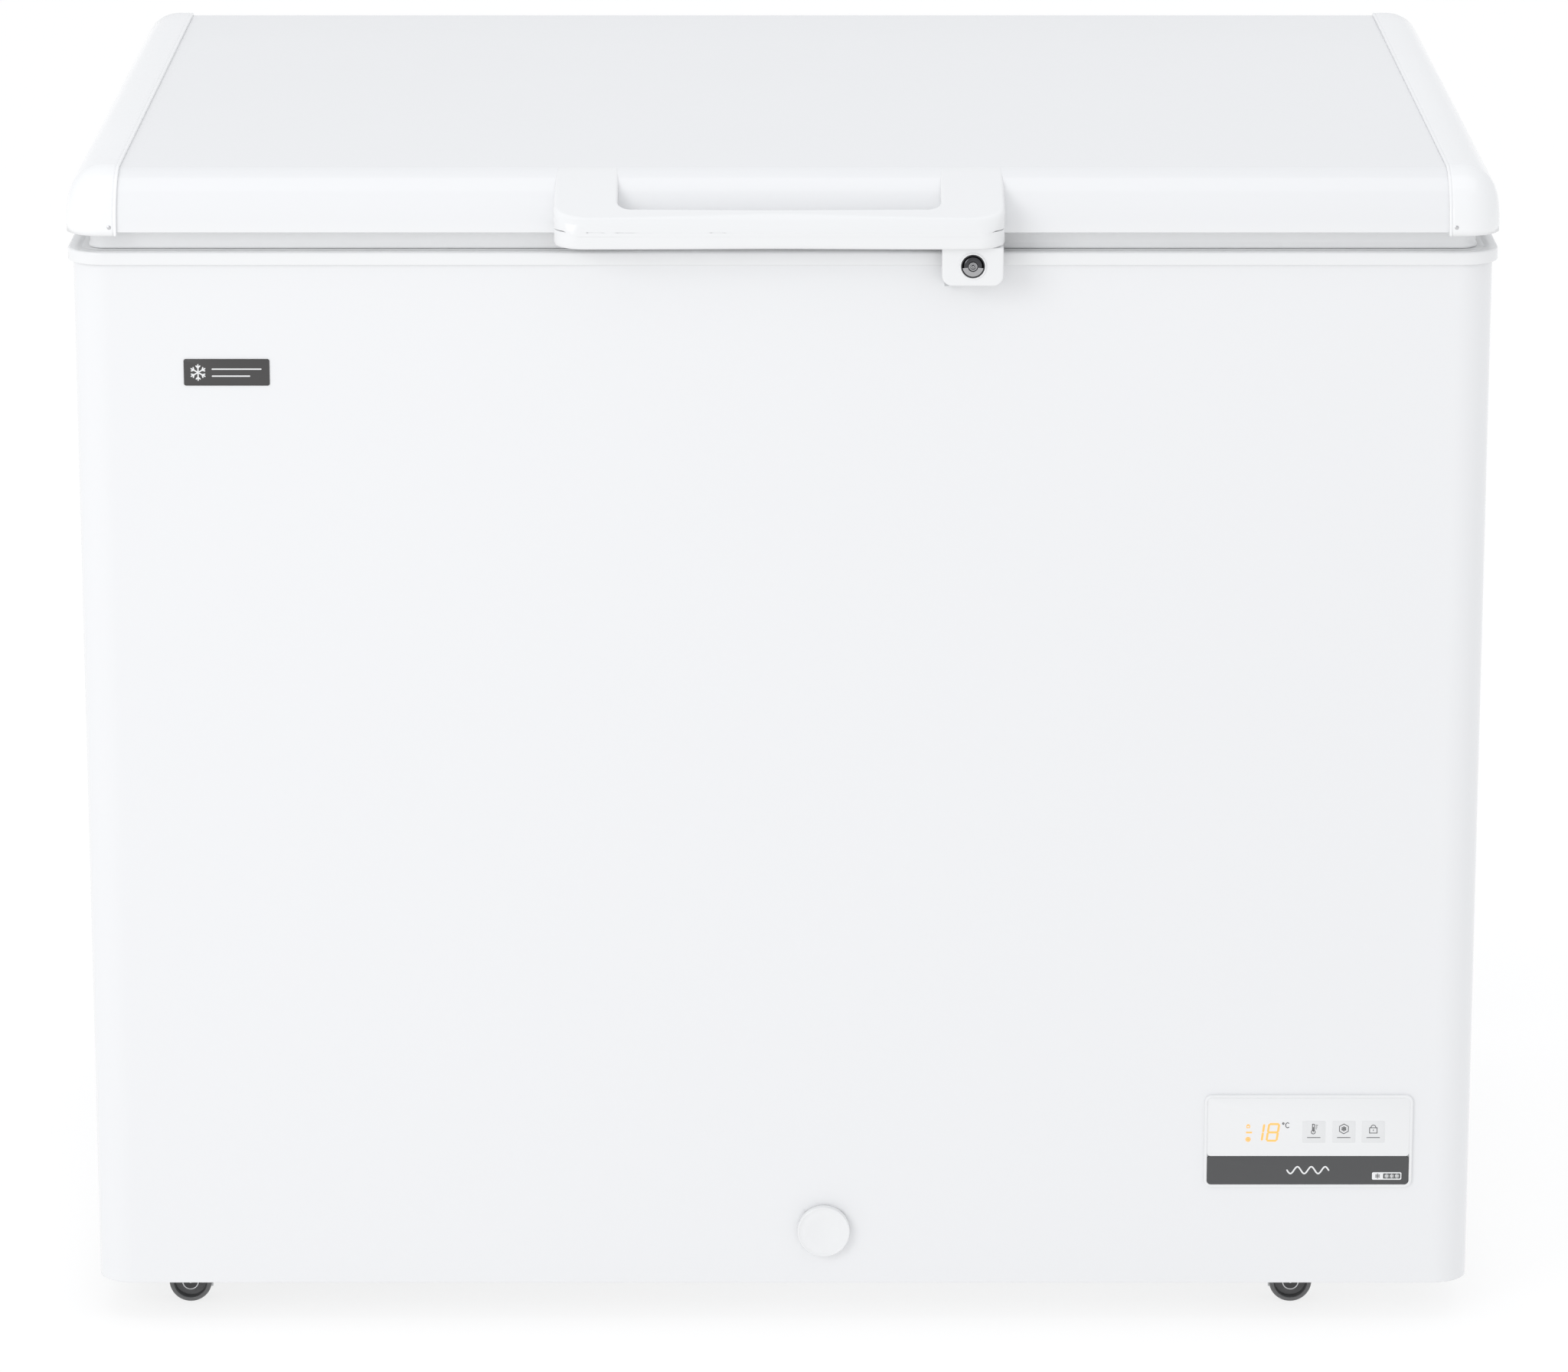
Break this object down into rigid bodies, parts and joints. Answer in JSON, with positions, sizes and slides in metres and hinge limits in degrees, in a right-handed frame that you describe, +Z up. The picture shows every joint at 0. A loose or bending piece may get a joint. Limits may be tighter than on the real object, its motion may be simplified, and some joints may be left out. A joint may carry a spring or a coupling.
{
  "type": "chest freezer",
  "caption": "White chest freezer with a hinged lid, recessed gasket, front handle with key lock, display panel, drain cap, hanging wire basket and fixed castors.",
  "frame": {"origin": "centre of the overall footprint, on the floor under the castors", "axes": "+Z up, -Y towards the front with the handle, +X towards the right-hand end over the compressor"},
  "size_m": [1, 0.744, 0.845],
  "materials": {
    "white_paint": "gloss",
    "rear_paint": "satin",
    "galvanised": "satin",
    "plated_steel": "polished",
    "spring_steel": "satin",
    "insulation": "matte",
    "liner_metal": "satin",
    "white_gloss_plastic": "gloss",
    "white_plastic": "satin",
    "gasket_rubber": "satin",
    "black_rubber": "matte",
    "tube_aluminium": "satin",
    "tube_steel": "satin",
    "copper": "satin",
    "compressor_black": "gloss",
    "dark_plastic": "satin",
    "loom": "matte",
    "window_grey": "satin",
    "strip_grey": "satin",
    "board_green": "satin",
    "wheel_grey": "satin",
    "chrome": "polished",
    "coated_wire": "gloss",
    "grip_grey": "satin"
  },
  "bodies": {
    "cabinet": {"outer_wrap": "white_paint", "back_panel": "rear_paint", "base_plate": "galvanised", "base_rails": "galvanised", "castor_brackets": "galvanised", "hinge_brackets": "galvanised", "lock_keeper": "galvanised", "castor_bolts": "plated_steel", "hinge_pins": "plated_steel", "grille_screws": "plated_steel", "hinge_springs": "spring_steel", "cabinet_foam": "insulation", "inner_liner": "liner_metal", "top_collar": "white_gloss_plastic", "display_bezel": "white_gloss_plastic", "hinge_covers": "white_gloss_plastic", "drain_tube": "white_plastic", "temperature_probe": "white_plastic", "control_box": "white_plastic", "compressor_grommets": "black_rubber", "cord_grommet": "black_rubber", "evaporator_coil": "tube_aluminium", "condenser_coil": "tube_steel", "filter_drier": "copper", "discharge_line": "copper", "suction_line": "copper", "capillary_tube": "copper", "compressor_shell": "compressor_black", "compressor_base": "compressor_black", "rear_grille": "dark_plastic", "terminal_cover": "dark_plastic", "wiring_loom": "loom", "display_lens": "window_grey", "touch_keys": "window_grey", "display_strip": "strip_grey", "badge": "strip_grey", "display_board": "board_green"},
    "lid": {"lid_panel": "white_paint", "end_cap_left": "white_gloss_plastic", "end_cap_right": "white_gloss_plastic", "cap_screws": "plated_steel", "lid_foam": "insulation", "lid_liner": "white_plastic", "lid_gasket": "gasket_rubber", "handle_upper": "white_gloss_plastic", "handle_lower": "white_gloss_plastic", "lock_housing": "white_gloss_plastic", "hinge_arms": "galvanised", "arm_screws": "plated_steel"},
    "lock": {"lock_cylinder": "chrome", "lock_tongue": "galvanised"},
    "basket": {"wire_basket": "coated_wire", "basket_grips": "grip_grey"},
    "drain_cap": {"drain_cap": "white_gloss_plastic"},
    "drain_plug": {"drain_plug": "white_plastic"},
    "castor_front_left": {"castor_front_left": "wheel_grey"},
    "castor_front_right": {"castor_front_right": "wheel_grey"},
    "castor_rear_left": {"castor_rear_left": "wheel_grey"},
    "castor_rear_right": {"castor_rear_right": "wheel_grey"}
  },
  "joints": [
    {"name": "lid_hinge", "type": "hinge", "parent": "cabinet", "child": "lid", "pos_m": [0, 0.352, 0.795], "axis": [-1, 0, 0], "range_deg": [0, 85]},
    {"name": "lock_turn", "type": "hinge", "parent": "lid", "child": "lock", "pos_m": [0.1315, -0.35, 0.7855], "axis": [0, 1, 0], "range_deg": [0, 90]},
    {"name": "basket_slide", "type": "slide", "parent": "cabinet", "child": "basket", "axis": [1, 0, 0], "range_m": [0, 0.6]},
    {"name": "drain_cap_pull", "type": "slide", "parent": "cabinet", "child": "drain_cap", "axis": [0, -1, 0], "range_m": [0, 0.025]},
    {"name": "drain_plug_lift", "type": "slide", "parent": "cabinet", "child": "drain_plug", "axis": [0, 0, 1], "range_m": [0, 0.04]},
    {"name": "castor_front_left_spin", "type": "hinge", "parent": "cabinet", "child": "castor_front_left", "pos_m": [-0.4325, -0.285, 0.0155], "axis": [0, 1, 0], "continuous": true},
    {"name": "castor_front_right_spin", "type": "hinge", "parent": "cabinet", "child": "castor_front_right", "pos_m": [0.3705, -0.285, 0.0155], "axis": [0, 1, 0], "continuous": true},
    {"name": "castor_rear_left_spin", "type": "hinge", "parent": "cabinet", "child": "castor_rear_left", "pos_m": [-0.4325, 0.285, 0.0155], "axis": [0, 1, 0], "continuous": true},
    {"name": "castor_rear_right_spin", "type": "hinge", "parent": "cabinet", "child": "castor_rear_right", "pos_m": [0.3705, 0.285, 0.0155], "axis": [0, 1, 0], "continuous": true}
  ]
}
